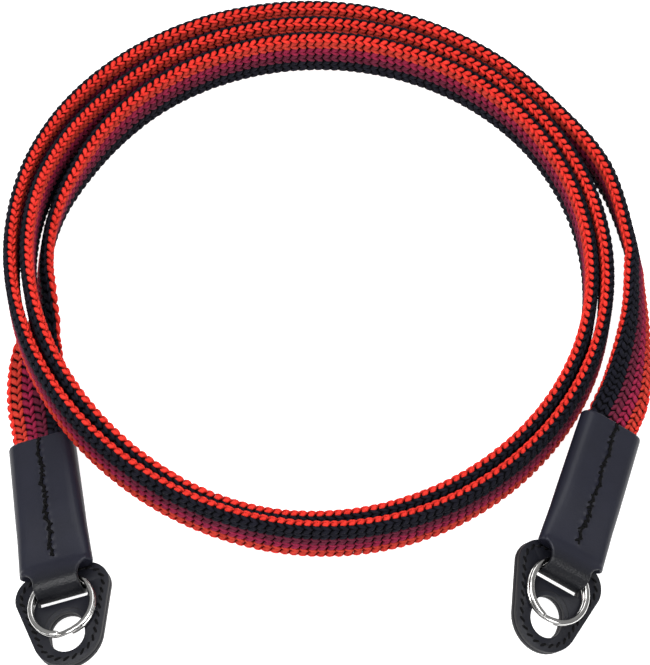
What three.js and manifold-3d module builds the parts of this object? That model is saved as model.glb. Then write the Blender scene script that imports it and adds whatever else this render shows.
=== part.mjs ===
import * as THREE from 'three';
import { mergeVertices } from 'three/addons/utils/BufferGeometryUtils.js';
import Module from 'manifold-3d';

const wasm = await Module();
wasm.setup();

// Driving dimensions, in millimetres and degrees
const bandWidth = 14.6;
const bandThickness = 3.1;
const coilRadius = 64;
const turnGap = 1.2;
const sideGap = 0.35;
const bandStep = 5.5;
const coilStationsPerTurn = 24;
const bandEdgeSides = 5;
const bandFaceSides = 3;

const leather = 1.0;
const leatherClearance = 0.25;
const sleeveLength = 34.8;
const bandInSleeve = 24;
const bandSqueeze = 0.93;
const sleeveEndWidth = 17.6;
const sleeveEndThickness = 3.6;
const seamLength = 28;
const seamWidth = 0.5;

const tabWidth = 10.8;
const tabBend = 2.5;
const tabLean = 1.4;
const tabShoulder = 3.0;
const slotWidth = 3.4;
const slotCornerRadius = 0.4;

const guardLayer = 1.0;
const guardLayerGap = 0.3;
const guardWidth = 22.4;
const guardCornerRadius = 5.6;
const guardToeRadius = 8.2;
const guardHoleRadius = 4.2;
const guardHoleStretch = 1.6;
const holeBelowSlot = 9.5;
const guardUnderSleeve = 1.7;
const guardBelowSleeve = 0.6;

const ringOuterRadius = 8.05;
const ringWireWidth = 1.3;
const ringWireHeight = 0.95;
const ringCoilGap = 0.1;
const ringStepsPerTurn = 26;

// Colours and surfaces of the real materials
const knitLook = new THREE.MeshStandardMaterial({ color: 0xb3262b, roughness: 0.85, metalness: 0 });
const leatherLook = new THREE.MeshStandardMaterial({ color: 0x2b2c34, roughness: 0.55, metalness: 0 });
const steelLook = new THREE.MeshStandardMaterial({ color: 0xc9c9cc, roughness: 0.2, metalness: 1 });

// The coil, one row for each eighth of a turn from the left end of the strap.
// A bulge is a share of the turn gap, added to an even spiral.
const coilRows = [
  { turn: 0.0, bulge: -0.15 },
  { turn: 0.125, bulge: 0.2 },
  { turn: 0.25, bulge: 0.0 },
  { turn: 0.375, bulge: -0.1 },
  { turn: 0.5, bulge: -0.9 },
  { turn: 0.625, bulge: -1.1 },
  { turn: 0.75, bulge: -0.7 },
  { turn: 0.875, bulge: -0.85 },
  { turn: 1.0, bulge: -0.45 },
  { turn: 1.125, bulge: 1.0 },
  { turn: 1.25, bulge: 0.35 },
  { turn: 1.375, bulge: -0.75 },
  { turn: 1.5, bulge: -1.4 },
  { turn: 1.625, bulge: -1.65 },
  { turn: 1.75, bulge: -1.35 },
  { turn: 1.875, bulge: -1.35 },
  { turn: 2.0, bulge: -0.6 },
  { turn: 2.125, bulge: 1.85 },
  { turn: 2.25, bulge: 0.6 },
  { turn: 2.375, bulge: -0.9 },
];

// Where the band runs flat from the left sleeve, under the two outer turns, and stands up.
// Columns: sideways and ahead of the coil's middle as shares of the coil radius, roll from
// flat, and how high the lower edge is held as a share of the band's width.
const leftRun = [
  { side: -1.006, ahead: -0.6, roll: 15, lift: 0 },
  { side: -1.022, ahead: -0.5, roll: 15, lift: 0 },
  { side: -1.03, ahead: -0.39, roll: 20, lift: 0 },
  { side: -1.028, ahead: -0.28, roll: 34, lift: 0 },
  { side: -1.012, ahead: -0.19, roll: 54, lift: 0 },
  { side: -1.003, ahead: -0.1, roll: 74, lift: 0 },
  { side: -1.01, ahead: 0.02, roll: 80, lift: 0 },
  { side: -0.997, ahead: 0.19, roll: 81, lift: 0 },
  { side: -0.935, ahead: 0.385, roll: 83, lift: 0 },
];
const crossingRoll = 36;
const leftUpright = 0.105;

// Where the outer turn leans over to lie flat in the right sleeve.
const rightRun = [
  { side: 1.09, ahead: 0.44, roll: 86, lift: 0 },
  { side: 1.175, ahead: 0.12, roll: 80, lift: 0 },
  { side: 1.182, ahead: 0.0, roll: 75, lift: 0 },
  { side: 1.175, ahead: -0.22, roll: 64, lift: 0.03 },
  { side: 1.13, ahead: -0.47, roll: 42, lift: 0.17 },
];
const rightUpright = 2.4;

// Each end of the strap: where its sleeve starts, as shares of the coil radius from the
// coil's middle, the way it points, how far its inner side is raised, how high the band
// holds it there as a share of the band's width, and how far the guard has slid outwards.
const ends = [
  { name: 'left', side: -0.995, ahead: -0.67, heading: 8.5, roll: 15, inner: 1, held: 0, guardSlide: 0 },
  { name: 'right', side: 1.061, ahead: -0.647, heading: -18, roll: 30, inner: -1, held: 0.3,
    guardSlide: 0.4 },
];

const radians = THREE.MathUtils.degToRad;
const turnSpacing = bandThickness + turnGap;
const sleeveStartWidth = bandWidth * bandSqueeze + 2 * (leatherClearance + leather);
const sleeveStartThickness = bandThickness + 2 * (leatherClearance + leather);
const guardTop = -(sleeveEndThickness / 2 + guardBelowSleeve);
const guardThickness = 2 * guardLayer + guardLayerGap;
const guardBottom = guardTop - guardThickness;
const ringHeight = 2 * ringWireHeight + ringCoilGap;
const ringMiddleRadius = ringOuterRadius - ringWireWidth / 2;
const ringUp = guardTop + leatherClearance + ringHeight / 2;
const ringCentreAhead = ringOuterRadius + sideGap;
const ringInnerRadius = ringOuterRadius - ringWireWidth;
const tabHalf = tabWidth / 2;
const ringAtTabEdge = ringCentreAhead - Math.sqrt(ringInnerRadius ** 2 - tabHalf ** 2);
const tabDrop = ringAtTabEdge + leatherClearance + leather;
const slotStart = tabDrop - tabLean - leather / 2 - leatherClearance;
const slotMiddle = slotStart + slotWidth / 2;
const slotLength = tabWidth + 4 * leatherClearance;
const holeAhead = slotMiddle + holeBelowSlot;
const tabUnderGuard = guardBottom - leatherClearance - leather / 2;

// Height that a rolled strap or sleeve needs, so that what lies over it clears it
const rolledHeight = (width, thickness, roll) => thickness + (width - thickness) * Math.sin(radians(roll));
const liftOverBand = rolledHeight(bandWidth, bandThickness, crossingRoll) + sideGap;
const liftOverSleeve = rolledHeight(sleeveStartWidth, sleeveStartThickness, ends[0].roll) + sideGap;

// The two outer turns rise over the flat end and come down again. Turns are from the left end.
const crossings = [
  { turn: 0.967, rise: 0.208, fall: 0.18, height: liftOverBand },
  { turn: 1.94, rise: 0.28, fall: 0.22, height: liftOverSleeve },
];

function liftAt(turn) {
  let lift = 0;
  for (const { turn: top, rise, fall, height } of crossings) {
    const away = turn < top ? (top - turn) / rise : (turn - top) / fall;
    if (away < 1) lift += height * 0.5 * (1 + Math.cos(Math.PI * away));
  }
  return lift;
}

// Smooth curve through evenly spaced table values
function smoothShare(values, place) {
  const at = (index) => values[Math.min(Math.max(index, 0), values.length - 1)];
  const i = Math.min(Math.floor(place), values.length - 2);
  const f = place - i;
  const [a, b, c, d] = [at(i - 1), at(i), at(i + 1), at(i + 2)];
  return b + 0.5 * f * (c - a + f * (2 * a - 5 * b + 4 * c - d + f * (3 * (b - c) + d - a)));
}

function coilStation(turn) {
  const bulges = coilRows.map((row) => row.bulge);
  const bulge = smoothShare(bulges, turn / coilRows[1].turn);
  const radius = coilRadius + turnSpacing * turn + turnGap * bulge;
  const angle = 2 * Math.PI * turn;
  return { x: -radius * Math.cos(angle), y: radius * Math.sin(angle), roll: 90, lift: liftAt(turn) };
}

function runStation({ side, ahead, roll, lift }) {
  return { x: coilRadius * side, y: coilRadius * ahead, roll, lift: bandWidth * lift };
}

// An end's own axes: along the sleeve and away from the band, across it, and up out of its face
function endFrame(end) {
  const heading = radians(end.heading);
  const roll = radians(end.roll) * end.inner;
  const startHeight = sleeveStartThickness / 2
    + ((sleeveStartWidth - sleeveStartThickness) / 2) * Math.sin(radians(end.roll)) + bandWidth * end.held;
  const heightAt = (half, depth) => depth * Math.cos(roll) + half * Math.abs(Math.sin(roll));
  const guardHeight = heightAt(guardWidth / 2, -guardBottom);
  const tabHeight = heightAt(tabHalf, leather / 2 - tabUnderGuard);
  const endHeight = Math.max(guardHeight, tabHeight);
  const pitch = Math.asin((endHeight - startHeight) / (sleeveLength - guardUnderSleeve - leather));
  const along = new THREE.Vector3(
    Math.sin(heading) * Math.cos(pitch), -Math.cos(heading) * Math.cos(pitch), Math.sin(pitch));
  const level = new THREE.Vector3(Math.cos(heading), Math.sin(heading), 0);
  const upright = new THREE.Vector3().crossVectors(along, level);
  const across = level.clone().multiplyScalar(Math.cos(roll)).addScaledVector(upright, Math.sin(roll));
  const up = new THREE.Vector3().crossVectors(across, along);
  if (up.z < 0) up.multiplyScalar(-1);
  const start = new THREE.Vector3(coilRadius * end.side, coilRadius * end.ahead, startHeight);
  return { start, along, across, up, ...end };
}

function sleeveStation(frame, depth) {
  const point = frame.start.clone().addScaledVector(frame.along, depth);
  return { x: point.x, y: point.y, z: point.z, roll: frame.roll, lift: 0 };
}

// Height of the band's middle when its lower edge rests at the lift
function middleHeight({ z, roll, lift }) {
  if (z !== undefined) return z;
  return lift + bandThickness / 2 + ((bandWidth - bandThickness) / 2) * Math.sin(radians(roll));
}

const [leftFrame, rightFrame] = ends.map(endFrame);

function bandStations() {
  const stations = [sleeveStation(leftFrame, bandInSleeve), sleeveStation(leftFrame, bandInSleeve / 2)];
  stations.push(sleeveStation(leftFrame, 0), ...leftRun.map(runStation));
  for (let k = 0; k <= (rightUpright - leftUpright) * coilStationsPerTurn; k++) {
    stations.push(coilStation(leftUpright + k / coilStationsPerTurn));
  }
  stations.push(...rightRun.map(runStation), sleeveStation(rightFrame, 0));
  stations.push(sleeveStation(rightFrame, bandInSleeve / 2), sleeveStation(rightFrame, bandInSleeve));
  return stations;
}

// Outline of a flat strap with round edges and straight faces, across by up
function strapSection(width, thickness, edgeSides, faceSides) {
  const half = thickness / 2;
  const reach = width / 2 - half;
  const points = [];
  for (const side of [1, -1]) {
    for (let k = 0; k <= edgeSides; k++) {
      const angle = -Math.PI / 2 + (Math.PI * k) / edgeSides;
      points.push([side * (reach + half * Math.cos(angle)), side * half * Math.sin(angle)]);
    }
    for (let k = 1; k < faceSides; k++) {
      points.push([side * reach * (1 - (2 * k) / faceSides), side * half]);
    }
  }
  return points;
}

// Closed body through rings of points that all have as many points
function loftRings(rings) {
  const count = rings[0].length;
  const positions = rings.flat().flatMap((p) => [p.x, p.y, p.z]);
  const middles = [rings[0], rings[rings.length - 1]].map((ring) => ring
    .reduce((sum, p) => sum.add(p), new THREE.Vector3()).divideScalar(count));
  middles.forEach((p) => positions.push(p.x, p.y, p.z));
  const first = rings.length * count;
  const index = [];
  for (let r = 0; r < rings.length - 1; r++) {
    for (let k = 0; k < count; k++) {
      const a = r * count + k;
      const b = r * count + ((k + 1) % count);
      index.push(a, b, b + count, a, b + count, a + count);
    }
  }
  const last = first - count;
  for (let k = 0; k < count; k++) {
    const next = (k + 1) % count;
    index.push(first, next, k, first + 1, last + k, last + next);
  }
  const geometry = new THREE.BufferGeometry();
  geometry.setAttribute('position', new THREE.Float32BufferAttribute(positions, 3));
  geometry.setIndex(index);
  return facesOutwards(geometry);
}

function signedVolume(geometry) {
  const position = geometry.attributes.position;
  const index = geometry.index.array;
  const [a, b, c] = [new THREE.Vector3(), new THREE.Vector3(), new THREE.Vector3()];
  let volume = 0;
  for (let k = 0; k < index.length; k += 3) {
    a.fromBufferAttribute(position, index[k]);
    b.fromBufferAttribute(position, index[k + 1]);
    c.fromBufferAttribute(position, index[k + 2]);
    volume += a.dot(b.cross(c)) / 6;
  }
  return volume;
}

function facesOutwards(geometry) {
  if (signedVolume(geometry) > 0) return geometry;
  const flipped = Array.from(geometry.index.array);
  for (let k = 0; k < flipped.length; k += 3) {
    [flipped[k], flipped[k + 1]] = [flipped[k + 1], flipped[k]];
  }
  geometry.setIndex(flipped);
  return geometry;
}

// Solids for cutting and joining
function toSolid(geometry) {
  const bare = geometry.clone();
  bare.deleteAttribute('normal');
  bare.deleteAttribute('uv');
  const merged = facesOutwards(mergeVertices(bare, 1e-4));
  return new wasm.Manifold(new wasm.Mesh({
    numProp: 3,
    vertProperties: new Float32Array(merged.attributes.position.array),
    triVerts: new Uint32Array(merged.index.array),
  }));
}

function fromSolid(solid) {
  const mesh = solid.getMesh();
  const geometry = new THREE.BufferGeometry();
  geometry.setAttribute('position', new THREE.Float32BufferAttribute(mesh.vertProperties, 3));
  geometry.setIndex(Array.from(mesh.triVerts));
  return geometry;
}

// The knitted band, swept along its stations
function bandGeometry() {
  const stations = bandStations();
  const curve = new THREE.CatmullRomCurve3(
    stations.map((s) => new THREE.Vector3(s.x, s.y, middleHeight(s))), false, 'catmullrom', 0.5);
  curve.arcLengthDivisions = 4000;
  const rolls = stations.map((s) => s.roll);
  const steps = Math.round(curve.getLength() / bandStep);
  const rings = [];
  for (let k = 0; k <= steps; k++) {
    const place = curve.getUtoTmapping(k / steps);
    const middle = curve.getPoint(place);
    const tangent = curve.getTangent(place);
    const roll = radians(smoothShare(rolls, place * (stations.length - 1)));
    const outward = new THREE.Vector3(-tangent.y, tangent.x, 0).normalize();
    const face = outward.multiplyScalar(Math.sin(roll)).add(new THREE.Vector3(0, 0, Math.cos(roll)));
    face.addScaledVector(tangent, -face.dot(tangent)).normalize();
    const edge = new THREE.Vector3().crossVectors(tangent, face);
    const fromEnd = Math.min(k, steps - k) * bandStep;
    const squeezed = THREE.MathUtils.smoothstep(fromEnd, bandInSleeve, bandInSleeve + bandWidth);
    const width = bandWidth * THREE.MathUtils.lerp(bandSqueeze, 1, squeezed);
    const section = strapSection(width, bandThickness, bandEdgeSides, bandFaceSides);
    rings.push(section.map(([w, n]) => middle.clone()
      .addScaledVector(edge, w).addScaledVector(face, n)));
  }
  return loftRings(rings);
}

// Sleeve body along the end's own axes: across, along, up
function sleeveLoft(rows) {
  return loftRings(rows.map(({ along, width, thickness }) => strapSection(width, thickness, 8, 1)
    .map(([w, n]) => new THREE.Vector3(w, along, n))));
}

const strip = (x, y, z, along, up) => new THREE.BoxGeometry(x, y, z).translate(0, along, up);

// Side view of the tab: over the ring, down and back through the slot, back under the guard
function tabGeometry() {
  const frontUp = sleeveEndThickness / 2 - leather / 2;
  const overRing = ringHeight / 2 + leather;
  const start = new THREE.Vector2(-sleeveLength * 0.1, frontUp);
  const overStart = new THREE.Vector2(tabDrop - tabBend, overRing);
  const lowTurn = new THREE.Vector2(tabDrop - tabLean - leather, tabUnderGuard + leather);
  const backEnd = new THREE.Vector2(-guardUnderSleeve - leather, tabUnderGuard);
  const points = [start, overStart];
  for (let k = 1; k <= 6; k++) {
    const angle = Math.PI / 2 - (Math.PI / 2) * (k / 6);
    points.push(new THREE.Vector2(overStart.x + tabBend * Math.cos(angle),
      overStart.y - tabBend + tabBend * Math.sin(angle)));
  }
  points.push(new THREE.Vector2(tabDrop, guardTop));
  for (let k = 0; k <= 4; k++) {
    const angle = -(Math.PI / 2) * (k / 4);
    points.push(new THREE.Vector2(lowTurn.x + leather * Math.cos(angle),
      lowTurn.y + leather * Math.sin(angle)));
  }
  points.push(backEnd, new THREE.Vector2(backEnd.x - sleeveEndThickness, -frontUp));
  const wide = toSolid(ribbon([start, overStart], leather, sleeveEndWidth));
  const shoulders = wide.intersect(toSolid(shoulderPlan()));
  return toSolid(ribbon(points, leather, tabWidth)).add(shoulders);
}

// The front leather narrows from the sleeve to the tab in two hollow curves, seen from above
function shoulderPlan() {
  const inner = tabWidth / 2;
  const outer = sleeveEndWidth / 2 - sleeveEndThickness / 4;
  const points = [[outer, -leather], [outer, 0]];
  for (let k = 1; k <= 6; k++) {
    const angle = (Math.PI / 2) * (k / 6);
    points.push([outer - (outer - inner) * Math.sin(angle), tabShoulder * (1 - Math.cos(angle))]);
  }
  const mirrored = points.map(([across, along]) => [-across, along]).reverse();
  const shape = new THREE.Shape([...points, ...mirrored].map(([x, y]) => new THREE.Vector2(x, y)));
  const height = 4 * leather;
  return new THREE.ExtrudeGeometry(shape, { depth: height, bevelEnabled: false });
}

// Strip of leather along a bent line, given from the side
function ribbon(points, thickness, width) {
  const sideOf = (k, sign) => {
    const before = points[Math.max(k - 1, 0)];
    const after = points[Math.min(k + 1, points.length - 1)];
    const into = points[k].clone().sub(before).normalize();
    const out = after.clone().sub(points[k]).normalize();
    const way = into.add(out).normalize();
    const reach = (thickness / 2) / Math.max(Math.abs(way.dot(out.lengthSq() > 0 ? out : way)), 0.6);
    return new THREE.Vector2(points[k].x - sign * way.y * reach, points[k].y + sign * way.x * reach);
  };
  const upper = points.map((_, k) => sideOf(k, 1));
  const lower = points.map((_, k) => sideOf(k, -1)).reverse();
  const shape = new THREE.Shape([...upper, ...lower]);
  const body = new THREE.ExtrudeGeometry(shape, { depth: width, bevelEnabled: false });
  const axes = new THREE.Matrix4().makeBasis(
    new THREE.Vector3(0, 1, 0), new THREE.Vector3(0, 0, 1), new THREE.Vector3(1, 0, 0));
  return body.applyMatrix4(axes).translate(-width / 2, 0, 0);
}

function sleeveGeometry() {
  const outer = toSolid(sleeveLoft([
    { along: -sleeveLength, width: sleeveStartWidth, thickness: sleeveStartThickness },
    { along: -sleeveLength + bandInSleeve + leather, width: (sleeveStartWidth + sleeveEndWidth) / 2,
      thickness: sleeveStartThickness },
    { along: 0, width: sleeveEndWidth, thickness: sleeveEndThickness },
  ]));
  const pocketDepth = bandInSleeve + leatherClearance;
  const pocket = toSolid(sleeveLoft([-leather, pocketDepth].map((depth) => ({
    along: -sleeveLength + depth,
    width: bandWidth * bandSqueeze + 2 * leatherClearance,
    thickness: bandThickness + 2 * leatherClearance,
  }))));
  const seamDepth = 2 * leather + leatherClearance;
  const seamUp = sleeveStartThickness / 2;
  const seam = toSolid(strip(seamWidth, seamLength + leather, seamDepth,
    -sleeveLength + (seamLength - leather) / 2, seamUp));
  return fromSolid(outer.subtract(pocket).subtract(seam).add(tabGeometry()));
}

// Guard outline: two upper corners and a round toe, joined by straight sides
function guardOutline() {
  const cornerSide = guardWidth / 2 - guardCornerRadius;
  const cornerAhead = -guardUnderSleeve + guardCornerRadius;
  const corners = [
    { x: cornerSide, y: cornerAhead, radius: guardCornerRadius },
    { x: -cornerSide, y: cornerAhead, radius: guardCornerRadius },
    { x: 0, y: holeAhead, radius: guardToeRadius },
  ];
  const points = [];
  const sides = 40;
  for (let k = 0; k < sides; k++) {
    const angle = 2 * Math.PI * (k / sides);
    const way = new THREE.Vector2(Math.cos(angle), Math.sin(angle));
    const reach = (c) => c.x * way.x + c.y * way.y + c.radius;
    const far = corners.reduce((best, c) => (reach(c) > reach(best) ? c : best));
    points.push(new THREE.Vector2(far.x + far.radius * way.x, far.y + far.radius * way.y));
  }
  return points;
}

function roundedSlot() {
  const path = new THREE.Path();
  const side = slotLength / 2 - slotCornerRadius;
  const ahead = slotWidth / 2 - slotCornerRadius;
  path.absarc(side, slotMiddle + ahead, slotCornerRadius, 0, Math.PI / 2, false);
  path.absarc(-side, slotMiddle + ahead, slotCornerRadius, Math.PI / 2, Math.PI, false);
  path.absarc(-side, slotMiddle - ahead, slotCornerRadius, Math.PI, Math.PI * 1.5, false);
  path.absarc(side, slotMiddle - ahead, slotCornerRadius, Math.PI * 1.5, Math.PI * 2, false);
  path.closePath();
  return path;
}

function guardGeometry(bottom) {
  const shape = new THREE.Shape(guardOutline());
  shape.holes.push(roundedSlot());
  const hole = new THREE.Path();
  hole.absarc(0, holeAhead + guardHoleStretch / 2, guardHoleRadius, 0, Math.PI, false);
  hole.absarc(0, holeAhead - guardHoleStretch / 2, guardHoleRadius, Math.PI, 2 * Math.PI, false);
  hole.closePath();
  shape.holes.push(hole);
  const body = new THREE.ExtrudeGeometry(shape, { depth: guardLayer, bevelEnabled: false, curveSegments: 8 });
  return body.translate(0, 0, bottom);
}

// Split ring: flat wire, two turns, with the step between them at the toe of the guard
function ringGeometry() {
  const stepTurns = 0.09;
  const turns = 1.94;
  const stepMiddle = 1 - stepTurns / 2;
  const rings = [];
  const count = Math.round(turns * ringStepsPerTurn);
  for (let k = 0; k <= count; k++) {
    const turn = (turns * k) / count;
    const climbed = THREE.MathUtils.smoothstep(turn, stepMiddle - stepTurns / 2, stepMiddle + stepTurns / 2);
    const up = (climbed - 0.5) * (ringWireHeight + ringCoilGap);
    const angle = Math.PI * 0.56 + 2 * Math.PI * turn;
    const out = new THREE.Vector3(Math.cos(angle), Math.sin(angle), 0);
    rings.push(wireSection().map(([r, n]) => new THREE.Vector3(0, ringCentreAhead, 0)
      .addScaledVector(out, ringMiddleRadius + r).add(new THREE.Vector3(0, 0, ringUp + up + n))));
  }
  return loftRings(rings);
}

function wireSection() {
  const [r, n] = [ringWireWidth / 2, ringWireHeight / 2];
  const edge = 0.6;
  return [[r, -n * edge], [r, n * edge], [r * edge, n], [-r * edge, n], [-r, n * edge], [-r, -n * edge],
    [-r * edge, -n], [r * edge, -n]];
}

function endGroup(frame) {
  const group = new THREE.Group();
  const tip = frame.start.clone().addScaledVector(frame.along, sleeveLength);
  const basis = new THREE.Matrix4().makeBasis(frame.across.clone().multiplyScalar(-1), frame.along, frame.up);
  group.quaternion.setFromRotationMatrix(basis);
  group.position.copy(tip);
  const pieces = [
    ['sleeve', sleeveGeometry(), leatherLook],
    ['guard_front', guardGeometry(guardTop - guardLayer), leatherLook],
    ['guard_back', guardGeometry(guardBottom), leatherLook],
    ['ring', ringGeometry(), steelLook],
  ];
  for (const [name, geometry, look] of pieces) {
    const mesh = new THREE.Mesh(geometry, look);
    mesh.name = `${name}_${frame.name}`;
    if (name !== 'sleeve') mesh.position.x = frame.guardSlide * frame.inner;
    group.add(mesh);
  }
  return group;
}

const band = new THREE.Mesh(bandGeometry(), knitLook);
band.name = 'strap_band';

// The origin is the middle of the footprint, on the surface that the strap lies on
const strap = new THREE.Group();
strap.add(band, endGroup(leftFrame), endGroup(rightFrame));
strap.updateMatrixWorld(true);
const box = new THREE.Box3().setFromObject(strap, true);
const middle = box.getCenter(new THREE.Vector3());
strap.position.set(-middle.x, -middle.y, -box.min.z);

export default strap;
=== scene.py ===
import math

import bpy
import numpy as np
from mathutils import Matrix, Vector


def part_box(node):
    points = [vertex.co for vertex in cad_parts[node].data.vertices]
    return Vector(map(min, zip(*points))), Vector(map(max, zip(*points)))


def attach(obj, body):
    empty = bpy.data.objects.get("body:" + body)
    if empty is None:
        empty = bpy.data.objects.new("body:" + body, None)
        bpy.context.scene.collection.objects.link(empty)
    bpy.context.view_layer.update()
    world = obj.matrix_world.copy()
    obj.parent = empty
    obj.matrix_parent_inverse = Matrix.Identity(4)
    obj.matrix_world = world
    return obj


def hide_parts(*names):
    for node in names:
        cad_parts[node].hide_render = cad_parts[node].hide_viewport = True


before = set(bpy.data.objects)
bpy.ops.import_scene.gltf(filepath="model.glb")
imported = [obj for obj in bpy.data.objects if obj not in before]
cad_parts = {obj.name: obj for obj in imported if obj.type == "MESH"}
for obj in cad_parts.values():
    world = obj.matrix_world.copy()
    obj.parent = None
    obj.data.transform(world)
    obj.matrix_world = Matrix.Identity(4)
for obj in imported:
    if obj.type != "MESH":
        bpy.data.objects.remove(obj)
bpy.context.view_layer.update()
bpy.ops.object.select_all(action="DESELECT")

# The way the strap lies. It leaves the left sleeve flat, runs under the two outer turns, stands
# on its edge for two and a half turns and leans over into the right sleeve. Sizes here are in
# millimetres from the middle of the coil, as the strap was measured.
MM = 0.001
BAND_WIDTH = 14.6
BAND_THICKNESS = 3.1
COIL_RADIUS = 64
TURN_GAP = 1.2
SIDE_GAP = 0.35
LEATHER = 1.0
LEATHER_CLEARANCE = 0.25
SLEEVE_LENGTH = 34.8
SLEEVE_END_THICKNESS = 3.6
BAND_IN_SLEEVE = 24
BAND_SQUEEZE = 0.93
GUARD_LAYER = 1.0
GUARD_LAYER_GAP = 0.3
GUARD_WIDTH = 22.4
GUARD_UNDER_SLEEVE = 1.7
GUARD_BELOW_SLEEVE = 0.6
TAB_WIDTH = 10.8

EIGHTH_TURN = 0.125
coil_bulges = [-0.15, 0.2, 0.0, -0.1, -0.9, -1.1, -0.7, -0.85, -0.45, 1.0, 0.35, -0.75, -1.4,
               -1.65, -1.35, -1.35, -0.6, 1.85, 0.6, -0.9]
left_run = [
    dict(side=-1.006, ahead=-0.6, roll=15, lift=0),
    dict(side=-1.022, ahead=-0.5, roll=15, lift=0),
    dict(side=-1.03, ahead=-0.39, roll=20, lift=0),
    dict(side=-1.028, ahead=-0.28, roll=34, lift=0),
    dict(side=-1.012, ahead=-0.19, roll=54, lift=0),
    dict(side=-1.003, ahead=-0.1, roll=74, lift=0),
    dict(side=-1.01, ahead=0.02, roll=80, lift=0),
    dict(side=-0.997, ahead=0.19, roll=81, lift=0),
    dict(side=-0.935, ahead=0.385, roll=83, lift=0),
]
crossing_roll = 36
left_upright = 0.105
right_run = [
    dict(side=1.09, ahead=0.44, roll=86, lift=0),
    dict(side=1.175, ahead=0.12, roll=80, lift=0),
    dict(side=1.182, ahead=0.0, roll=75, lift=0),
    dict(side=1.175, ahead=-0.22, roll=64, lift=0.03),
    dict(side=1.13, ahead=-0.47, roll=42, lift=0.17),
]
right_upright = 2.4
strap_ends = [
    dict(name="left", side=-0.995, ahead=-0.67, heading=8.5, roll=15, inner=1, held=0, guard_slide=0),
    dict(name="right", side=1.061, ahead=-0.647, heading=-18, roll=30, inner=-1, held=0.3,
         guard_slide=0.4),
]

sleeve_start_width = BAND_WIDTH * BAND_SQUEEZE + 2 * (LEATHER_CLEARANCE + LEATHER)
sleeve_start_thickness = BAND_THICKNESS + 2 * (LEATHER_CLEARANCE + LEATHER)
guard_top = -(SLEEVE_END_THICKNESS / 2 + GUARD_BELOW_SLEEVE)
guard_bottom = guard_top - 2 * GUARD_LAYER - GUARD_LAYER_GAP
tab_under_guard = guard_bottom - LEATHER_CLEARANCE - LEATHER / 2


def rolled_height(width, thickness, roll):
    return thickness + (width - thickness) * math.sin(math.radians(roll))


lift_over_band = rolled_height(BAND_WIDTH, BAND_THICKNESS, crossing_roll) + SIDE_GAP
lift_over_sleeve = (rolled_height(sleeve_start_width, sleeve_start_thickness, strap_ends[0]["roll"])
                    + SIDE_GAP)
crossings = [
    dict(turn=0.967, rise=0.208, fall=0.18, height=lift_over_band),
    dict(turn=1.94, rise=0.28, fall=0.22, height=lift_over_sleeve),
]


def lift_at(turn):
    lift = 0
    for hump in crossings:
        away = hump["turn"] - turn
        share = away / hump["rise"] if away > 0 else -away / hump["fall"]
        if share < 1:
            lift += hump["height"] * 0.5 * (1 + math.cos(math.pi * share))
    return lift


def smooth_share(values, place):
    """Smooth curve through evenly spaced values."""
    values = np.asarray(values, float)
    place = np.asarray(place, float)
    i = np.minimum(np.floor(place).astype(int), len(values) - 2)
    f = place - i
    a, b, c, d = (values[np.clip(i + step, 0, len(values) - 1)] for step in (-1, 0, 1, 2))
    return b + 0.5 * f * (c - a + f * (2 * a - 5 * b + 4 * c - d + f * (3 * (b - c) + d - a)))


def middle_height(roll, lift):
    upright = math.sin(math.radians(roll))
    return lift + BAND_THICKNESS / 2 + (BAND_WIDTH - BAND_THICKNESS) / 2 * upright


def end_frame(end):
    """The axes of a leather end: along it and away from the band, across it, up from its face."""
    heading = math.radians(end["heading"])
    roll = math.radians(end["roll"]) * end["inner"]
    start_height = (sleeve_start_thickness / 2 + (sleeve_start_width - sleeve_start_thickness) / 2
                    * math.sin(abs(roll)) + BAND_WIDTH * end["held"])
    guard_height = -guard_bottom * math.cos(roll) + GUARD_WIDTH / 2 * math.sin(abs(roll))
    tab_height = ((LEATHER / 2 - tab_under_guard) * math.cos(roll)
                  + TAB_WIDTH / 2 * math.sin(abs(roll)))
    rest_length = SLEEVE_LENGTH - GUARD_UNDER_SLEEVE - LEATHER
    pitch = math.asin((max(guard_height, tab_height) - start_height) / rest_length)
    along = Vector((math.sin(heading) * math.cos(pitch), -math.cos(heading) * math.cos(pitch),
                    math.sin(pitch)))
    level = Vector((math.cos(heading), math.sin(heading), 0))
    upright = along.cross(level)
    across = level * math.cos(roll) + upright * math.sin(roll)
    up = across.cross(along)
    if up.z < 0:
        up = -up
    start = Vector((COIL_RADIUS * end["side"], COIL_RADIUS * end["ahead"], start_height))
    return dict(end, start=start, along=along, across=across, up=up)


def sleeve_row(end, depth):
    point = end["start"] + end["along"] * depth
    return [point.x, point.y, point.z, end["roll"]]


def run_row(row):
    height = middle_height(row["roll"], BAND_WIDTH * row["lift"])
    return [COIL_RADIUS * row["side"], COIL_RADIUS * row["ahead"], height, row["roll"]]


def coil_row(turn):
    radius = (COIL_RADIUS + (BAND_THICKNESS + TURN_GAP) * turn
              + TURN_GAP * smooth_share(coil_bulges, turn / EIGHTH_TURN))
    angle = 2 * math.pi * turn
    return [-radius * math.cos(angle), radius * math.sin(angle), middle_height(90, lift_at(turn)), 90]


left_end, right_end = [end_frame(end) for end in strap_ends]
STEPS_PER_TURN = 24
coil_steps = math.floor((right_upright - left_upright) * STEPS_PER_TURN)
route_rows = [sleeve_row(left_end, depth) for depth in (BAND_IN_SLEEVE, BAND_IN_SLEEVE / 2, 0)]
route_rows += [run_row(row) for row in left_run]
route_rows += [coil_row(left_upright + k / STEPS_PER_TURN) for k in range(coil_steps + 1)]
route_rows += [run_row(row) for row in right_run]
route_rows += [sleeve_row(right_end, depth) for depth in (0, BAND_IN_SLEEVE / 2, BAND_IN_SLEEVE)]
route_rows = np.array(route_rows)

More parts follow.
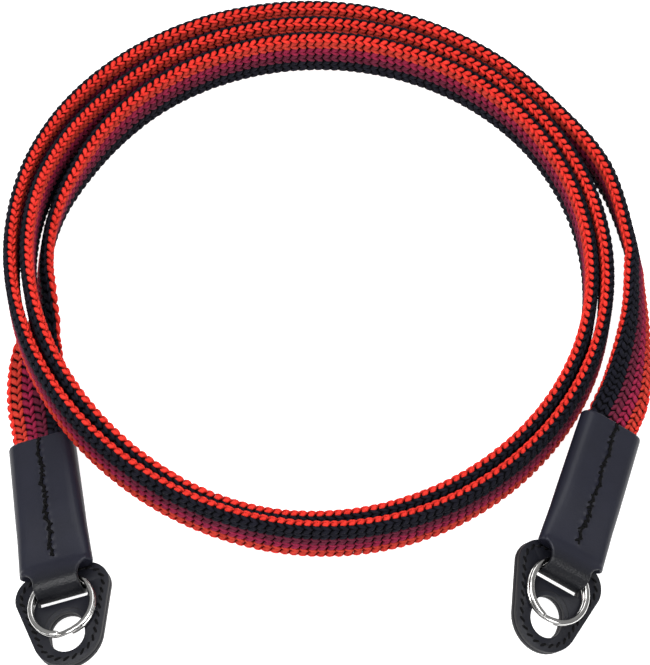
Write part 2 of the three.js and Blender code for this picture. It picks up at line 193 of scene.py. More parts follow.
# The route is a smooth curve through the rows, measured off by its length. At each point of it
# the band has a way ahead, a way out of its face and a way to its upper edge.
ROUTE_SAMPLES = 8000
places = np.linspace(0, len(route_rows) - 1, ROUTE_SAMPLES)
before_first = 2 * route_rows[0] - route_rows[1]
after_last = 2 * route_rows[-1] - route_rows[-2]
padded_rows = np.vstack([before_first, route_rows, after_last])
spans = np.minimum(np.floor(places).astype(int), len(route_rows) - 2)
f = (places - spans)[:, None]
a, b, c, d = (padded_rows[spans + step, :3] for step in range(4))
route = b + 0.5 * f * (c - a + f * (2 * a - 5 * b + 4 * c - d + f * (3 * (b - c) + d - a)))
route_roll = np.radians(smooth_share(route_rows[:, 3], places))
tangent = np.gradient(route, axis=0)
route_length = np.concatenate([[0], np.cumsum(np.linalg.norm(np.diff(route, axis=0), axis=1))])
tangent /= np.linalg.norm(tangent, axis=1)[:, None]
outward = np.stack([-tangent[:, 1], tangent[:, 0], np.zeros(ROUTE_SAMPLES)], axis=1)
outward /= np.linalg.norm(outward, axis=1)[:, None]
face_way = outward * np.sin(route_roll)[:, None] + np.array([0, 0, 1]) * np.cos(route_roll)[:, None]
face_way -= tangent * (face_way * tangent).sum(axis=1)[:, None]
face_way /= np.linalg.norm(face_way, axis=1)[:, None]
edge_way = np.cross(tangent, face_way)

# Where the middle of the coil lies in the frame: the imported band's box against the route's
band_low, band_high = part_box("strap_band")
half_width = BAND_WIDTH / 2 - BAND_THICKNESS / 2
reach = np.abs(edge_way) * half_width + BAND_THICKNESS / 2
route_low, route_high = (route - reach).min(axis=0), (route + reach).max(axis=0)
placing = (np.array(band_low) + np.array(band_high)) / 2 / MM - (route_low + route_high) / 2
placing[2] = band_low[2] / MM - route_low[2]
print("placing of the route in mm", placing)
print("strap length in mm", route_length[-1])

# The camera stands in front of the two leather ends and looks down on the coil, from so far
# away that the turns hardly narrow towards the back.
VIEW_AIM = (2.0, -11.0, 0.0)
view_elevation = math.radians(60.5)
view_distance = 745 * MM
view_lens = 169.4

bpy.ops.object.camera_add()
camera = bpy.context.object
camera.name = "photo_camera"
camera.data.sensor_width = 36
camera.data.lens = view_lens
camera.data.clip_end = 10
view_way = Vector((0, -math.cos(view_elevation), math.sin(view_elevation)))
camera.location = Vector(placing + VIEW_AIM) * MM + view_way * view_distance
camera.rotation_euler = (-view_way).to_track_quat("-Z", "Y").to_euler()
bpy.context.scene.camera = camera


# The knitted band: dyed cotton and polyester yarn, knitted in rows of paired stitches round a
# soft core. The yarns fade from black at one edge over plum and crimson to red at the other.
def linear(code, alpha=1):
    parts = [int(code[k:k + 2], 16) / 255 for k in (1, 3, 5)]
    return tuple(v / 12.92 if v <= 0.04045 else ((v + 0.055) / 1.055) ** 2.4 for v in parts) + (alpha,)


def add_node(material, kind, links=(), **settings):
    """Adds one node; a setting is an input's name or number, or else the node's own property."""
    tree = material.node_tree
    new = tree.nodes.new(kind)
    for name, value in settings.items():
        name = name.replace("_", " ") if name[0].isupper() else name
        if name[0] == "i" and name[1:].isdigit():
            new.inputs[int(name[1:])].default_value = value
        elif name in new.inputs:
            new.inputs[name].default_value = value
        else:
            setattr(new, name, value)
    for socket, source in links:
        tree.links.new(source, new.inputs[socket])
    return new


def start_material(name):
    material = bpy.data.materials.new(name)
    material.use_nodes = True
    material.node_tree.nodes.clear()
    return material


def finish_material(material, **links):
    shader = links.pop("shader")
    for name, source in links.items():
        material.node_tree.links.new(source, shader.inputs[name.replace("_", " ")])
    add_node(material, "ShaderNodeOutputMaterial", [("Surface", shader.outputs[0])])
    return material


def yarn(name, dark, light):
    """Matt twisted yarn: plies wind round each stitch and loose fibres roughen it. Each stitch's rim
    is painted in shade with the dark colour, where the yarn dips between the stitches, and its crown
    is a touch lighter or darker than the next one's."""
    material = start_material(name)
    tone = add_node(material, "ShaderNodeAttribute", attribute_name="stitch_tone_and_rim_shade")
    where = add_node(material, "ShaderNodeUVMap", uv_map="yarn")
    ply = add_node(material, "ShaderNodeTexWave", [("Vector", where.outputs[0])],
                   wave_type="BANDS", bands_direction="DIAGONAL", Scale=1.6, Distortion=0.6)
    place = add_node(material, "ShaderNodeTexCoord")
    fibres = add_node(material, "ShaderNodeTexNoise", [("Vector", place.outputs["Object"])],
                      Scale=2600, Detail=3, Roughness=0.6)
    # Painted shade: from the dark colour at a stitch's rim to the light colour at its crown.
    stitch = add_node(material, "ShaderNodeMix", [("Factor", tone.outputs["Fac"])],
                      data_type="RGBA", i6=linear(dark), i7=linear(light))
    ply_share = add_node(material, "ShaderNodeMath", [(0, ply.outputs["Fac"])], operation="MULTIPLY",
                         i1=0.35)
    shaded = add_node(material, "ShaderNodeMix", [(0, ply_share.outputs[0]), (6, stitch.outputs[2])],
                      data_type="RGBA", i7=linear(light))
    height = add_node(material, "ShaderNodeMath", [(0, ply.outputs["Fac"]), (1, fibres.outputs[0])],
                      operation="ADD")
    bump = add_node(material, "ShaderNodeBump", [("Height", height.outputs[0])], Strength=0.4,
                    Distance=0.0001)
    shader = add_node(material, "ShaderNodeBsdfPrincipled", Roughness=0.85, IOR=1.5)
    shader.inputs["Specular IOR Level"].default_value = 0.08
    return finish_material(material, shader=shader, Base_Color=shaded.outputs[2], Normal=bump.outputs[0])


# For each yarn: the painted shade colour at the stitches' rims, then its colour at their crowns.
yarns = dict(
    red=yarn("red_yarn", "#84120c", "#d8342a"),
    crimson=yarn("crimson_yarn", "#6a1612", "#bc382c"),
    magenta=yarn("magenta_yarn", "#4a0c1e", "#8a203e"),
    plum=yarn("plum_yarn", "#300c16", "#601e32"),
    black=yarn("black_yarn", "#050508", "#16161f"),
)
column_yarns = ["black", "black", "plum", "magenta", "crimson", "red"]
COLUMN_SHIFT = 0.3
STITCH_PITCH = 2.04
CORE_SHRINK = 0.75

# Every stitch is two leaves of yarn that open towards the right end: a short fat one across the
# band towards the red edge, and a long thin one over it, almost in line with the band.
# Tilt is the rise along a leaf, and unevenness and the spreads are how much stitches differ.
leaf_kinds = [
    dict(side=1, offset=0.2, slant=46, length=2.55, width=1.52, height=1.15, sink=0.5),
    dict(side=-1, offset=0.25, slant=27, length=2.7, width=1.15, height=1.15, sink=0.48),
]
LEAF_TILT = 0.2
LEAF_UNEVEN = 0.02
LEAF_TAIL_WIDTH = 0.86
LEAF_HEAD_WIDTH = 1.08
RIM_SHADE_FADE_STEEPNESS = 2.6
PLACE_SPREAD = 0.04
SLANT_SPREAD = 3
SIZE_SPREAD = 0.035
DARKEST_CROWN = 0.6
STITCHES_IN_SLEEVE = 3

bpy.ops.mesh.primitive_uv_sphere_add(segments=8, ring_count=5, radius=0.5)
leaf = bpy.context.object
leaf.rotation_euler = (0, math.radians(90), 0)
bpy.ops.object.transform_apply(location=False, rotation=True, scale=False)
bpy.ops.object.mode_set(mode="EDIT")
bpy.ops.mesh.select_all(action="DESELECT")
bpy.ops.object.mode_set(mode="OBJECT")
leaf_mesh = leaf.data
hidden_below = -0.1
for vertex in leaf_mesh.vertices:
    vertex.select = abs(vertex.co.y) < 0.01 and vertex.co.z < hidden_below
bpy.ops.object.mode_set(mode="EDIT")
bpy.ops.mesh.delete(type="VERT")
bpy.ops.object.mode_set(mode="OBJECT")
leaf_points = np.array([v.co for v in leaf_mesh.vertices])
# Painted shade at each leaf's rim: none of the light colour at the rim and below, rising to all of it
# towards the crown.
leaf_painted_shade_fade = np.clip(RIM_SHADE_FADE_STEEPNESS * leaf_points[:, 2], 0, 1)
leaf_points[:, 1] *= np.where(leaf_points[:, 0] < 0, LEAF_TAIL_WIDTH, LEAF_HEAD_WIDTH)
leaf_faces = [tuple(p.vertices) for p in leaf_mesh.polygons]
leaf_uv_layer = leaf_mesh.uv_layers.active.data
leaf_uv = [[tuple(leaf_uv_layer[loop].uv) for loop in p.loop_indices] for p in leaf_mesh.polygons]
bpy.data.objects.remove(leaf)

girth = 4 * half_width + math.pi * BAND_THICKNESS
column_width = girth / 2 / len(column_yarns)
first_stitch = BAND_IN_SLEEVE - STITCHES_IN_SLEEVE
last_stitch = route_length[-1] - first_stitch
stitch_count = int((last_stitch - first_stitch) / STITCH_PITCH)
chance = np.random.default_rng(7)


def smooth_step(share):
    """A share held between 0 and 1 that starts and ends level."""
    share = np.clip(share, 0, 1)
    return share ** 2 * (3 - 2 * share)


def on_band(along, around, out):
    """Points of the frame in metres for a distance along the band, one around its section
    from the middle of the upper edge over the outer face, and one out of its surface."""
    half = BAND_THICKNESS / 2
    quarter, straight = math.pi * half / 2, 2 * half_width
    around = np.mod(around, girth)
    corners = [0, quarter, quarter + straight, 3 * quarter + straight, 3 * quarter + 2 * straight, girth]
    width = np.empty_like(around)
    depth = np.empty_like(around)
    turned = np.empty_like(around)
    edge_turns = {0: (0, half_width), 2: (math.pi / 2, -half_width), 4: (1.5 * math.pi, half_width)}
    for k in range(5):
        here = (around >= corners[k]) & (around <= corners[k + 1])
        part = around[here] - corners[k]
        if k in (1, 3):
            side = 1 if k == 1 else -1
            turned[here] = math.pi / 2 if k == 1 else 1.5 * math.pi
            width[here] = side * (half_width - part)
            depth[here] = side * half
        else:
            start, middle = edge_turns[k]
            turned[here] = start + part / half
            width[here] = middle + half * np.cos(turned[here])
            depth[here] = half * np.sin(turned[here])
    width += out * np.cos(turned)
    depth += out * np.sin(turned)
    from_sleeve = np.minimum(along, route_length[-1] - along) - BAND_IN_SLEEVE
    squeeze = BAND_SQUEEZE + (1 - BAND_SQUEEZE) * smooth_step(from_sleeve / BAND_WIDTH)
    points = np.empty((len(along), 3))
    for axis in range(3):
        points[:, axis] = (np.interp(along, route_length, route[:, axis])
                           + np.interp(along, route_length, edge_way[:, axis]) * width * squeeze
                           + np.interp(along, route_length, face_way[:, axis]) * depth)
    return (points + placing) * MM


def stitch_columns(yarn_name, first_column):
    """All stitches of one yarn on one half of the band, as one mesh of leaves."""
    along, around, out, tones_with_rim_shade = [], [], [], []
    faces, uvs = [], []
    leaves = 0
    columns = [first_column + k for k, name in enumerate(column_yarns) if name == yarn_name]
    for column in columns:
        middle = (column + 0.5) * column_width + COLUMN_SHIFT
        for kind in leaf_kinds:
            base = first_stitch + np.arange(stitch_count) * STITCH_PITCH
            base = base + chance.normal(0, PLACE_SPREAD, stitch_count)
            slant = math.radians(kind["slant"]) + chance.normal(0, math.radians(SLANT_SPREAD), stitch_count)
            size = 1 + chance.normal(0, SIZE_SPREAD, stitch_count)
            x, y, z = (leaf_points[:, axis] * kind[name] for axis, name in
                       enumerate(("length", "width", "height")))
            lifted = z - kind["sink"] + LEAF_TILT * leaf_points[:, 0]
            x, y = size[:, None] * x, size[:, None] * y
            across = x * np.sin(slant)[:, None] + y * np.cos(slant)[:, None]
            along.append((base[:, None] + x * np.cos(slant)[:, None] - y * np.sin(slant)[:, None]).ravel())
            around.append((middle + kind["side"] * (kind["offset"] * column_width + across)).ravel())
            out.append(np.tile(lifted, stitch_count) + chance.normal(0, LEAF_UNEVEN, len(across.ravel())))
            # Each stitch's random crown tone, times the painted shade that darkens its rim.
            tone = DARKEST_CROWN + (1 - DARKEST_CROWN) * chance.random(stitch_count)
            tones_with_rim_shade.append(np.outer(tone, leaf_painted_shade_fade).ravel())
            for _ in range(stitch_count):
                first = leaves * len(leaf_points)
                leaves += 1
                for face, uv in zip(leaf_faces, leaf_uv):
                    mirrored = kind["side"] < 0
                    face = face[::-1] if mirrored else face
                    faces.append([first + k for k in face])
                    uvs.extend(uv[::-1] if mirrored else uv)
    points = on_band(*(np.concatenate(v) for v in (along, around, out)))
    half = "outer" if first_column == 0 else "inner"
    mesh = bpy.data.meshes.new(f"stitches_{yarn_name}_{half}")
    mesh.from_pydata(points.tolist(), [], faces)
    mesh.polygons.foreach_set("use_smooth", [True] * len(faces))
    mesh.uv_layers.new(name="yarn").data.foreach_set("uv", np.array(uvs).ravel())
    # The attribute carries each stitch's random tone together with the painted shade at its rim.
    tone = mesh.attributes.new("stitch_tone_and_rim_shade", "FLOAT", "POINT")
    tone.data.foreach_set("value", np.concatenate(tones_with_rim_shade))
    mesh.materials.append(yarns[yarn_name])
    stitches = bpy.data.objects.new(mesh.name, mesh)
    bpy.context.collection.objects.link(stitches)
    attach(stitches, "root")
    return stitches


for yarn_name in yarns:
    for first_column in (0, len(column_yarns)):
        stitches = stitch_columns(yarn_name, first_column)
        if yarn_name == "red" and first_column == 0:
            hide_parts("strap_band")


MERGE_DISTANCE = 2e-6


def merged_copy(node, name):
    """A copy of a CAD node as a piece of its own, with its loose triangles joined."""
    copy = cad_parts[node].copy()
    copy.data = copy.data.copy()
    copy.name = name
    copy.parent = None
    copy.matrix_world = Matrix.Identity(4)
    bpy.context.collection.objects.link(copy)
    copy.hide_render = False
    copy.hide_viewport = False
    copy.hide_set(False)
    bpy.ops.object.select_all(action="DESELECT")
    copy.select_set(True)
    bpy.context.view_layer.objects.active = copy
    copy.data.materials.clear()
    bpy.ops.object.mode_set(mode="EDIT")
    bpy.ops.mesh.select_all(action="SELECT")
    bpy.ops.mesh.remove_doubles(threshold=MERGE_DISTANCE)
    bpy.ops.mesh.select_all(action="DESELECT")
    bpy.ops.object.mode_set(mode="OBJECT")
    return copy


# The band's core: the backs of the loops and the shade between them, a little inside the
# stitches, seen only in the small gaps between the leaves. Its near black colour is painted shade,
# a dark sheet that makes the holes of the knit read as deep; its yarn is rough.
core = merged_copy("strap_band", "band_core")
bpy.ops.object.mode_set(mode="EDIT")
bpy.ops.mesh.select_all(action="SELECT")
bpy.ops.transform.shrink_fatten(value=-CORE_SHRINK * MM)
bpy.ops.object.mode_set(mode="OBJECT")
bpy.ops.object.shade_smooth()
core_look = start_material("inner_yarn_painted_shade")
place = add_node(core_look, "ShaderNodeTexCoord")
loops = add_node(core_look, "ShaderNodeTexNoise", [("Vector", place.outputs["Object"])], Scale=900,
                 Detail=4)
bump = add_node(core_look, "ShaderNodeBump", [("Height", loops.outputs[0])], Strength=0.5, Distance=0.0002)
# Painted shade: near black.
shader = add_node(core_look, "ShaderNodeBsdfPrincipled", Roughness=0.95, Base_Color=linear("#060508"))
shader.inputs["Specular IOR Level"].default_value = 0.1
finish_material(core_look, shader=shader, Normal=bump.outputs[0])
core.data.materials.append(core_look)
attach(core, "root")

# The two sleeves, each with the tab that holds its ring: one piece of charcoal leather wrapped
# round the band's end and sewn edge to edge, narrowed with hollow shoulders to the tab, which
# bends over the ring and down through the guard.
SEAM_LENGTH = 32.2
SEAM_LIP = 0.16
SEAM_LIP_WIDTH = 0.55
SEAM_LIP_SPREAD = 0.5
SEAM_LIP_DEPTH = 0.6
PUCKER_PER_MM = 2.9
PUCKER_LAG = 1.2
LEATHER_GRID = 0.3
FLAT_END = -SLEEVE_LENGTH + BAND_IN_SLEEVE + LEATHER
EASE_START = -17.0
FOLD_REACH = 3.5
SMOOTHING_ROUNDS = 6
GRID_KEPT = 0.5


def leather_look(name, dark, light):
    """Dyed calf leather: fine pores and creases that show more where it is bent, cloudy dye, painted
    shade that darkens it towards near black over the tab's bend and on, and a low waxy shine."""
    material = start_material(name)
    place = add_node(material, "ShaderNodeTexCoord")
    where = [("Vector", place.outputs["Object"])]
    pebbles = add_node(material, "ShaderNodeTexVoronoi", where, Scale=2300)
    creases = add_node(material, "ShaderNodeTexNoise", where, Scale=420, Detail=5)
    mottle = add_node(material, "ShaderNodeTexNoise", where, Scale=120, Detail=5)
    bent = add_node(material, "ShaderNodeAttribute", attribute_name="fold_creases_and_painted_shade")
    tint = add_node(material, "ShaderNodeMix", [(0, mottle.outputs[0])], data_type="RGBA",
                    i6=linear(dark), i7=linear(light))
    # Painted shade: the leather's colour goes towards near black with the share of the bend.
    shaded = add_node(material, "ShaderNodeMix", [(0, bent.outputs["Fac"]), (6, tint.outputs[2])],
                      data_type="RGBA", i7=linear("#0c0d12"))
    relief = [(0, pebbles.outputs["Distance"]), (1, creases.outputs[0])]
    grain = add_node(material, "ShaderNodeMath", relief, operation="ADD")
    depth = add_node(material, "ShaderNodeMapRange", [("Value", bent.outputs["Fac"])])
    depth.inputs["To Min"].default_value = 0.12
    depth.inputs["To Max"].default_value = 0.6
    bump_links = [("Height", grain.outputs[0]), ("Strength", depth.outputs[0])]
    bump = add_node(material, "ShaderNodeBump", bump_links, Distance=0.00012)
    shader = add_node(material, "ShaderNodeBsdfPrincipled", Roughness=0.44, IOR=1.5)
    shader.inputs["Specular IOR Level"].default_value = 0.28
    return finish_material(material, shader=shader, Base_Color=shaded.outputs[2], Normal=bump.outputs[0])


leather = leather_look("dyed_calf_leather", "#12131c", "#1b1c28")


def end_matrix(end, slide=0):
    """From an end's own millimetres, with its origin at the sleeve's ring end, to the frame."""
    across = -end["across"]
    origin = end["start"] + end["along"] * SLEEVE_LENGTH + across * slide
    turn = Matrix((across, end["along"], end["up"])).transposed().to_4x4()
    return Matrix.Scale(MM, 4) @ Matrix.Translation(Vector(placing) + origin) @ turn


def thickness_between(share):
    return sleeve_start_thickness + (SLEEVE_END_THICKNESS - sleeve_start_thickness) * share


def eased_thickness(along):
    """Thickness of a sleeve at a place along it, thinned smoothly towards its ring end."""
    return thickness_between(smooth_step((along - EASE_START) / -EASE_START))


for end in (left_end, right_end):
    node = "sleeve_" + end["name"]
    piece = merged_copy(node, "leather_" + node)
    piece.data.transform(end_matrix(end).inverted())
    wrapped = piece.modifiers.new("even_grid", "REMESH")
    wrapped.mode = "VOXEL"
    wrapped.voxel_size = LEATHER_GRID
    softened = piece.modifiers.new("softened_leather", "SMOOTH")
    softened.factor = 0.5
    softened.iterations = SMOOTHING_ROUNDS
    bpy.ops.object.modifier_apply(modifier=wrapped.name)
    bpy.ops.object.modifier_apply(modifier=softened.name)
    count = len(piece.data.vertices)
    points = np.empty(count * 3)
    piece.data.vertices.foreach_get("co", points)
    points = points.reshape(-1, 3)
    along = points[:, 1]
    packed_thickness = thickness_between(np.clip((along - FLAT_END) / -FLAT_END, 0, 1))
    points[:, 2] *= np.where(along < 0, eased_thickness(along) / packed_thickness, 1)
    beside_thread = along < -SLEEVE_LENGTH + SEAM_LENGTH
    on_front = (points[:, 2] > SLEEVE_END_THICKNESS / 2 - SEAM_LIP_DEPTH) & beside_thread
    lips = np.exp(-((np.abs(points[:, 0]) - SEAM_LIP_WIDTH) / SEAM_LIP_SPREAD) ** 2)
    pucker = 0.6 + 0.4 * np.sin(along * PUCKER_PER_MM + np.sign(points[:, 0]) * PUCKER_LAG)
    points[:, 2] += np.where(on_front, SEAM_LIP * lips * pucker, 0)
    piece.data.vertices.foreach_set("co", points.ravel())
    # Share of the bend, from the sleeve's ring end over the tab: it deepens the creases and paints shade on
    # the leather.
    fold_creases_and_painted_shade = np.clip(along / FOLD_REACH, 0, 1)
    piece.data.attributes.new("fold_creases_and_painted_shade", "FLOAT", "POINT").data.foreach_set("value", fold_creases_and_painted_shade)
    thinned = piece.modifiers.new("thinned_grid", "DECIMATE")
    thinned.ratio = GRID_KEPT
    bpy.ops.object.modifier_apply(modifier=thinned.name)
    piece.data.transform(end_matrix(end))
    piece.data.materials.append(leather)
    bpy.ops.object.shade_smooth()
    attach(piece, "root")
    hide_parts(node)

# The guards: two layers of pressed calf leather, cut with a die, lying one on the other under
# the ring so that it doesn't rub. They look darker and flatter than the sleeves, and their cut
# edges are burnished almost black, with the fibres just showing.
EDGE_ROUND = 0.22
EDGE_SEGMENTS = 2
EDGE_STEEPNESS = 0.3
EDGE_ANGLE = 35
FLAT_ANGLE = 1
SMOOTH_ANGLE = 40

guard_leather = leather_look("pressed_calf_leather", "#0b0c12", "#14151d")

# Burnished cut edges are near black; the same material colours the tubes of painted shade along the pressed
# groove and the rim press.
edge_and_groove_shade = start_material("burnished_edge_and_painted_groove_shade")
place = add_node(edge_and_groove_shade, "ShaderNodeTexCoord")
fibres = add_node(edge_and_groove_shade, "ShaderNodeTexNoise", [("Vector", place.outputs["Object"])], Scale=2500,
                  Detail=4)
tint = add_node(edge_and_groove_shade, "ShaderNodeMix", [(0, fibres.outputs[0])], data_type="RGBA",
                i6=linear("#08080b"), i7=linear("#15151b"))
bump = add_node(edge_and_groove_shade, "ShaderNodeBump", [("Height", fibres.outputs[0])], Strength=0.4, Distance=0.0001)
shader = add_node(edge_and_groove_shade, "ShaderNodeBsdfPrincipled", Roughness=0.6)
shader.inputs["Specular IOR Level"].default_value = 0.3
finish_material(edge_and_groove_shade, shader=shader, Base_Color=tint.outputs[2], Normal=bump.outputs[0])

for end in (left_end, right_end):
    for part in ("guard_front", "guard_back"):
        node = part + "_" + end["name"]
        piece = merged_copy(node, "leather_" + node)
        bpy.ops.object.mode_set(mode="EDIT")
        bpy.ops.mesh.select_all(action="SELECT")
        bpy.ops.mesh.dissolve_limited(angle_limit=math.radians(FLAT_ANGLE))
        bpy.ops.object.mode_set(mode="OBJECT")
        piece.data.materials.append(guard_leather)
        piece.data.materials.append(edge_and_groove_shade)
        for polygon in piece.data.polygons:
            polygon.material_index = 1 if abs(polygon.normal.dot(end["up"])) < EDGE_STEEPNESS else 0
        rounding = piece.modifiers.new("rounded_edges", "BEVEL")
        rounding.width = EDGE_ROUND * MM
        rounding.segments = EDGE_SEGMENTS
        rounding.limit_method = "ANGLE"
        rounding.angle_limit = math.radians(EDGE_ANGLE)
        bpy.ops.object.modifier_apply(modifier=rounding.name)
        bpy.ops.object.shade_smooth_by_angle(angle=math.radians(SMOOTH_ANGLE))
        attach(piece, "root")
        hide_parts(node)

# Waxed black linen thread, dull and blacker than the leather round it. It is sewn by hand: back
# and forth across the butt seam of each sleeve, and in short slanted stitches along a pressed
# groove round both faces of each guard. The guard's hole has a pressed line at its ring side. The
# pressed groove and line are drawn as thin near black tubes on the leather, painted shade for
# their hollows, which are not cut.
SEAM_STITCH = 1.35
SEAM_REACH = 0.55
SEAM_THREAD = 0.3
SEAM_WANDER = 0.3
WANDER_PER_MM = 0.75
WANDER_STEP = 0.6
WANDER_SPREAD = 0.07
THREAD_START = 0.2
FIRST_CROSSING = 0.4
CROSSING_SPREAD = 0.15
LEAN_RIGHT_SHARE = 0.7
seam_crossing = [
    dict(side=-1.2, ahead=0, up=-0.35),
    dict(side=-0.6, ahead=0.2, up=0.16),
    dict(side=0.6, ahead=0.7, up=0.16),
    dict(side=1.2, ahead=0.95, up=-0.35),
]
GUARD_CORNER_RADIUS = 5.6
GUARD_TOE_RADIUS = 8.2
GUARD_HOLE_AHEAD = 14.65
GUARD_HOLE_RADIUS = 4.2
GUARD_HOLE_STRETCH = 1.6
STITCH_INSET = 1.45
GUARD_STITCH = 2.0
GUARD_STITCH_ALONG = 0.86
GUARD_STITCH_ASIDE = 0.5
guard_stitch = [
    dict(away=-0.7, up=-0.3),
    dict(away=-0.42, up=0.0),
    dict(away=0.42, up=0.0),
    dict(away=0.7, up=-0.3),
]
OUTLINE_STEPS = 400
GROOVE_STEP = 4
THREAD_RADIUS = 0.3
# Sizes of the near black tubes that paint shade along the pressed groove and the rim press.
GROOVE_RADIUS = 0.34
GROOVE_PROUD = 0.05
RIM_PRESS_AWAY = 1.0
RIM_PRESS_RADIUS = 0.25
RIM_PRESS_SINK = 0.22
RIM_PRESS_ARC = (195, 345)
RIM_PRESS_POINTS = 24

thread = start_material("waxed_linen_thread")
place = add_node(thread, "ShaderNodeTexCoord")
twist = add_node(thread, "ShaderNodeTexNoise", [("Vector", place.outputs["Object"])], Scale=3500, Detail=2)
bump = add_node(thread, "ShaderNodeBump", [("Height", twist.outputs[0])], Strength=0.5, Distance=0.0001)
shader = add_node(thread, "ShaderNodeBsdfPrincipled", Roughness=0.7, Base_Color=linear("#030304"))
shader.inputs["Specular IOR Level"].default_value = 0.1
finish_material(thread, shader=shader, Normal=bump.outputs[0])


def thread_tube(name, lines, matrix, radius, look):
    """Round threads, and tubes of painted groove shade, along lines of points in an end's own millimetres.
    """
    curve = bpy.data.curves.new(name, "CURVE")
    curve.dimensions = "3D"
    curve.bevel_depth = radius
    curve.bevel_resolution = 1
    curve.use_fill_caps = True
    for line in lines:
        spline = curve.splines.new("POLY")
        spline.points.add(len(line) - 1)
        for point, at in zip(spline.points, line):
            point.co = (*at, 1)
    piece = bpy.data.objects.new(name, curve)
    bpy.context.collection.objects.link(piece)
    bpy.ops.object.select_all(action="DESELECT")
    piece.select_set(True)
    bpy.context.view_layer.objects.active = piece
    bpy.ops.object.convert(target="MESH")
    piece = bpy.context.object
    piece.data.transform(matrix)
    bpy.ops.object.shade_smooth()
    piece.data.materials.clear()
    piece.data.materials.append(look)
    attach(piece, "root")
    return piece


def guard_line(inset, angle):
    """A point of the guard's outline, moved in by the inset, where it faces the angle."""
    way = (math.cos(angle), math.sin(angle))
    side = GUARD_WIDTH / 2 - GUARD_CORNER_RADIUS
    back = -GUARD_UNDER_SLEEVE + GUARD_CORNER_RADIUS
    circles = ((side, back, GUARD_CORNER_RADIUS - inset), (-side, back, GUARD_CORNER_RADIUS - inset),
               (0, GUARD_HOLE_AHEAD, GUARD_TOE_RADIUS - inset))
    x, y, radius = max(circles, key=lambda c: c[0] * way[0] + c[1] * way[1] + c[2])
    return np.array([x + radius * way[0], y + radius * way[1]])


def seam_lines():
    """One wandering thread down the seam, and stitches across it of uneven length and lean."""
    places = np.arange(-SLEEVE_LENGTH + THREAD_START, -SLEEVE_LENGTH + SEAM_LENGTH, WANDER_STEP)
    wander = (SEAM_WANDER * np.sin(places * WANDER_PER_MM)
              + chance.normal(0, WANDER_SPREAD, len(places)))
    lines = [[(x, y, eased_thickness(y) / 2 + 0.02) for x, y in zip(wander, places)]]
    for k in range(int(SEAM_LENGTH / SEAM_STITCH)):
        start = -SLEEVE_LENGTH + FIRST_CROSSING + k * SEAM_STITCH + chance.normal(0, CROSSING_SPREAD)
        middle = np.interp(start, places, wander)
        lean = 1 if chance.random() < LEAN_RIGHT_SHARE else -1
        reach = SEAM_REACH * (0.6 + 0.7 * chance.random())
        height = eased_thickness(start) / 2
        lines.append([(middle + lean * reach * row["side"], start + SEAM_STITCH * row["ahead"],
                       height + row["up"]) for row in seam_crossing])
    return lines


def guard_stitch_lines():
    """The stitches of both faces of a guard, then the tubes of painted shade along its pressed groove and
    along the rim press of its hole.
    """
    outline = np.array([guard_line(STITCH_INSET, 2 * math.pi * k / OUTLINE_STEPS)
                        for k in range(OUTLINE_STEPS + 1)])
    lengths = np.concatenate([[0], np.cumsum(np.linalg.norm(np.diff(outline, axis=0), axis=1))])
    count = round(lengths[-1] / GUARD_STITCH)
    faces = ((guard_top, 1), (guard_bottom, -1))
    lines = []
    for k in range(count):
        at = (k + 0.5) * lengths[-1] / count
        x, y = (np.interp(at, lengths, outline[:, axis]) for axis in (0, 1))
        ahead = [np.interp(at + 0.1, lengths, outline[:, axis]) for axis in (0, 1)]
        way = np.array([ahead[0] - x, ahead[1] - y])
        way /= np.linalg.norm(way)
        slant = (way * GUARD_STITCH_ALONG
                 + np.array([-way[1], way[0]]) * GUARD_STITCH_ASIDE)
        for top, side in faces:
            lines.append([(x + slant[0] * row["away"], y + slant[1] * row["away"], top + side * row["up"])
                          for row in guard_stitch])
    # Painted shade: a near black tube sunk along the pressed groove of each face, standing just proud of
    # it.
    groove_shade_lines = [[(x, y, top - side * (GROOVE_RADIUS - GROOVE_PROUD)) for x, y in outline[::GROOVE_STEP]]
               for top, side in faces]
    # Painted shade: a near black tube sunk along the pressed line at the ring side of the hole.
    rim = GUARD_HOLE_RADIUS + RIM_PRESS_AWAY
    back = GUARD_HOLE_AHEAD - GUARD_HOLE_STRETCH / 2
    rim_press_shade_line = [(rim * math.cos(angle), back + rim * math.sin(angle), guard_top - RIM_PRESS_SINK)
                 for angle in np.radians(np.linspace(*RIM_PRESS_ARC, RIM_PRESS_POINTS))]
    return lines, groove_shade_lines, rim_press_shade_line


for end in (left_end, right_end):
    name = end["name"]
    thread_tube("seam_thread_" + name, seam_lines(), end_matrix(end), SEAM_THREAD, thread)
    stitches, groove_shade_lines, rim_press_shade_line = guard_stitch_lines()
    matrix = end_matrix(end, end["guard_slide"] * end["inner"])
    thread_tube("guard_thread_" + name, stitches, matrix, THREAD_RADIUS, thread)
    # Painted shade: near black tubes along the pressed groove and the rim press.
    thread_tube("guard_groove_shade_" + name, groove_shade_lines, matrix, GROOVE_RADIUS, edge_and_groove_shade)
    thread_tube("guard_rim_press_shade_" + name, [rim_press_shade_line], matrix, RIM_PRESS_RADIUS, edge_and_groove_shade)

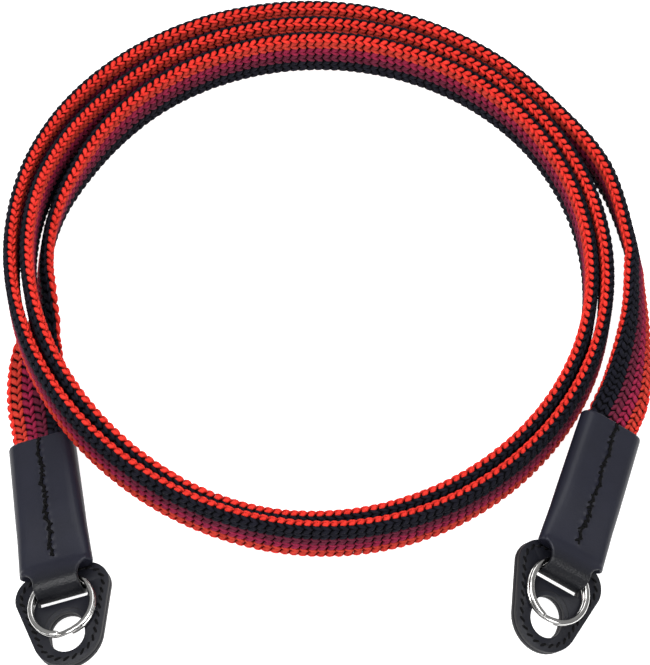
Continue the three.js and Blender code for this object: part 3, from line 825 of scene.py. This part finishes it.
# The split rings: flat spring wire wound twice, ground bright and nickel plated. They hang in
# the tabs' bends and lie on the guards. The plating mirrors the lamps, with a fine uneven haze.
ring_look = start_material("nickel_plated_spring_steel")
place = add_node(ring_look, "ShaderNodeTexCoord")
scratches = add_node(ring_look, "ShaderNodeTexNoise", [("Vector", place.outputs["Object"])], Scale=700,
                     Detail=6)
rough = add_node(ring_look, "ShaderNodeMapRange", [("Value", scratches.outputs[0])])
rough.inputs["To Min"].default_value = 0.08
rough.inputs["To Max"].default_value = 0.2
shader = add_node(ring_look, "ShaderNodeBsdfPrincipled", Metallic=1, Base_Color=linear("#d3d2d0"))
finish_material(ring_look, shader=shader, Roughness=rough.outputs[0])
for end in (left_end, right_end):
    node = "ring_" + end["name"]
    piece = merged_copy(node, "split_" + node)
    piece.data.materials.append(ring_look)
    drawn = piece.modifiers.new("drawn_wire", "SUBSURF")
    drawn.levels = drawn.render_levels = 1
    bpy.ops.object.modifier_apply(modifier=drawn.name)
    bpy.ops.object.shade_smooth_by_angle(angle=math.radians(50))
    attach(piece, "root")
    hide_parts(node)

# The studio: a glowing white light table under the strap, so that shadows stay faint, soft lamps
# in front, above and behind, and a room that is brighter overhead. Table and lamps are tuned to
# the Standard view, in which the table comes out white.
bpy.ops.mesh.primitive_plane_add(size=6, location=(0, 0, -0.0003))
table = bpy.context.object
table.name = "light_table"
table_look = start_material("matt_white_acrylic")
shader = add_node(table_look, "ShaderNodeBsdfPrincipled", Roughness=0.9, Base_Color=(0.5, 0.5, 0.5, 1))
shader.inputs["Emission Color"].default_value = (1, 1, 1, 1)
shader.inputs["Emission Strength"].default_value = 0.95
finish_material(table_look, shader=shader)
table.data.materials.append(table_look)

world = bpy.data.worlds.new("studio")
bpy.context.scene.world = world
world.use_nodes = True
sky = world.node_tree
background = sky.nodes["Background"]
background.inputs["Strength"].default_value = 1.0
direction = sky.nodes.new("ShaderNodeTexCoord")
height = sky.nodes.new("ShaderNodeSeparateXYZ")
brightness = sky.nodes.new("ShaderNodeMapRange")
brightness.inputs["From Min"].default_value = 0.1
brightness.inputs["From Max"].default_value = 0.9
brightness.inputs["To Min"].default_value = 0.15
brightness.inputs["To Max"].default_value = 0.4
sky.links.new(direction.outputs["Generated"], height.inputs[0])
sky.links.new(height.outputs["Z"], brightness.inputs["Value"])
sky.links.new(brightness.outputs[0], background.inputs["Color"])
bpy.context.scene.view_settings.view_transform = "Standard"
lamps = [
    dict(place=(-0.5, -0.3, 0.85), size=0.5, power=8.5),
    dict(place=(0.55, -0.4, 0.8), size=0.5, power=5.5),
    dict(place=(0.0, -0.1, 1.1), size=0.6, power=5),
    dict(place=(0.0, 0.55, 0.95), size=0.6, power=2.5),
]
for lamp_row in lamps:
    bpy.ops.object.light_add(type="AREA", location=lamp_row["place"])
    lamp = bpy.context.object
    lamp.data.size = lamp_row["size"]
    lamp.data.energy = lamp_row["power"]
    lamp.rotation_euler = Vector(lamp_row["place"]).to_track_quat("Z", "Y").to_euler()
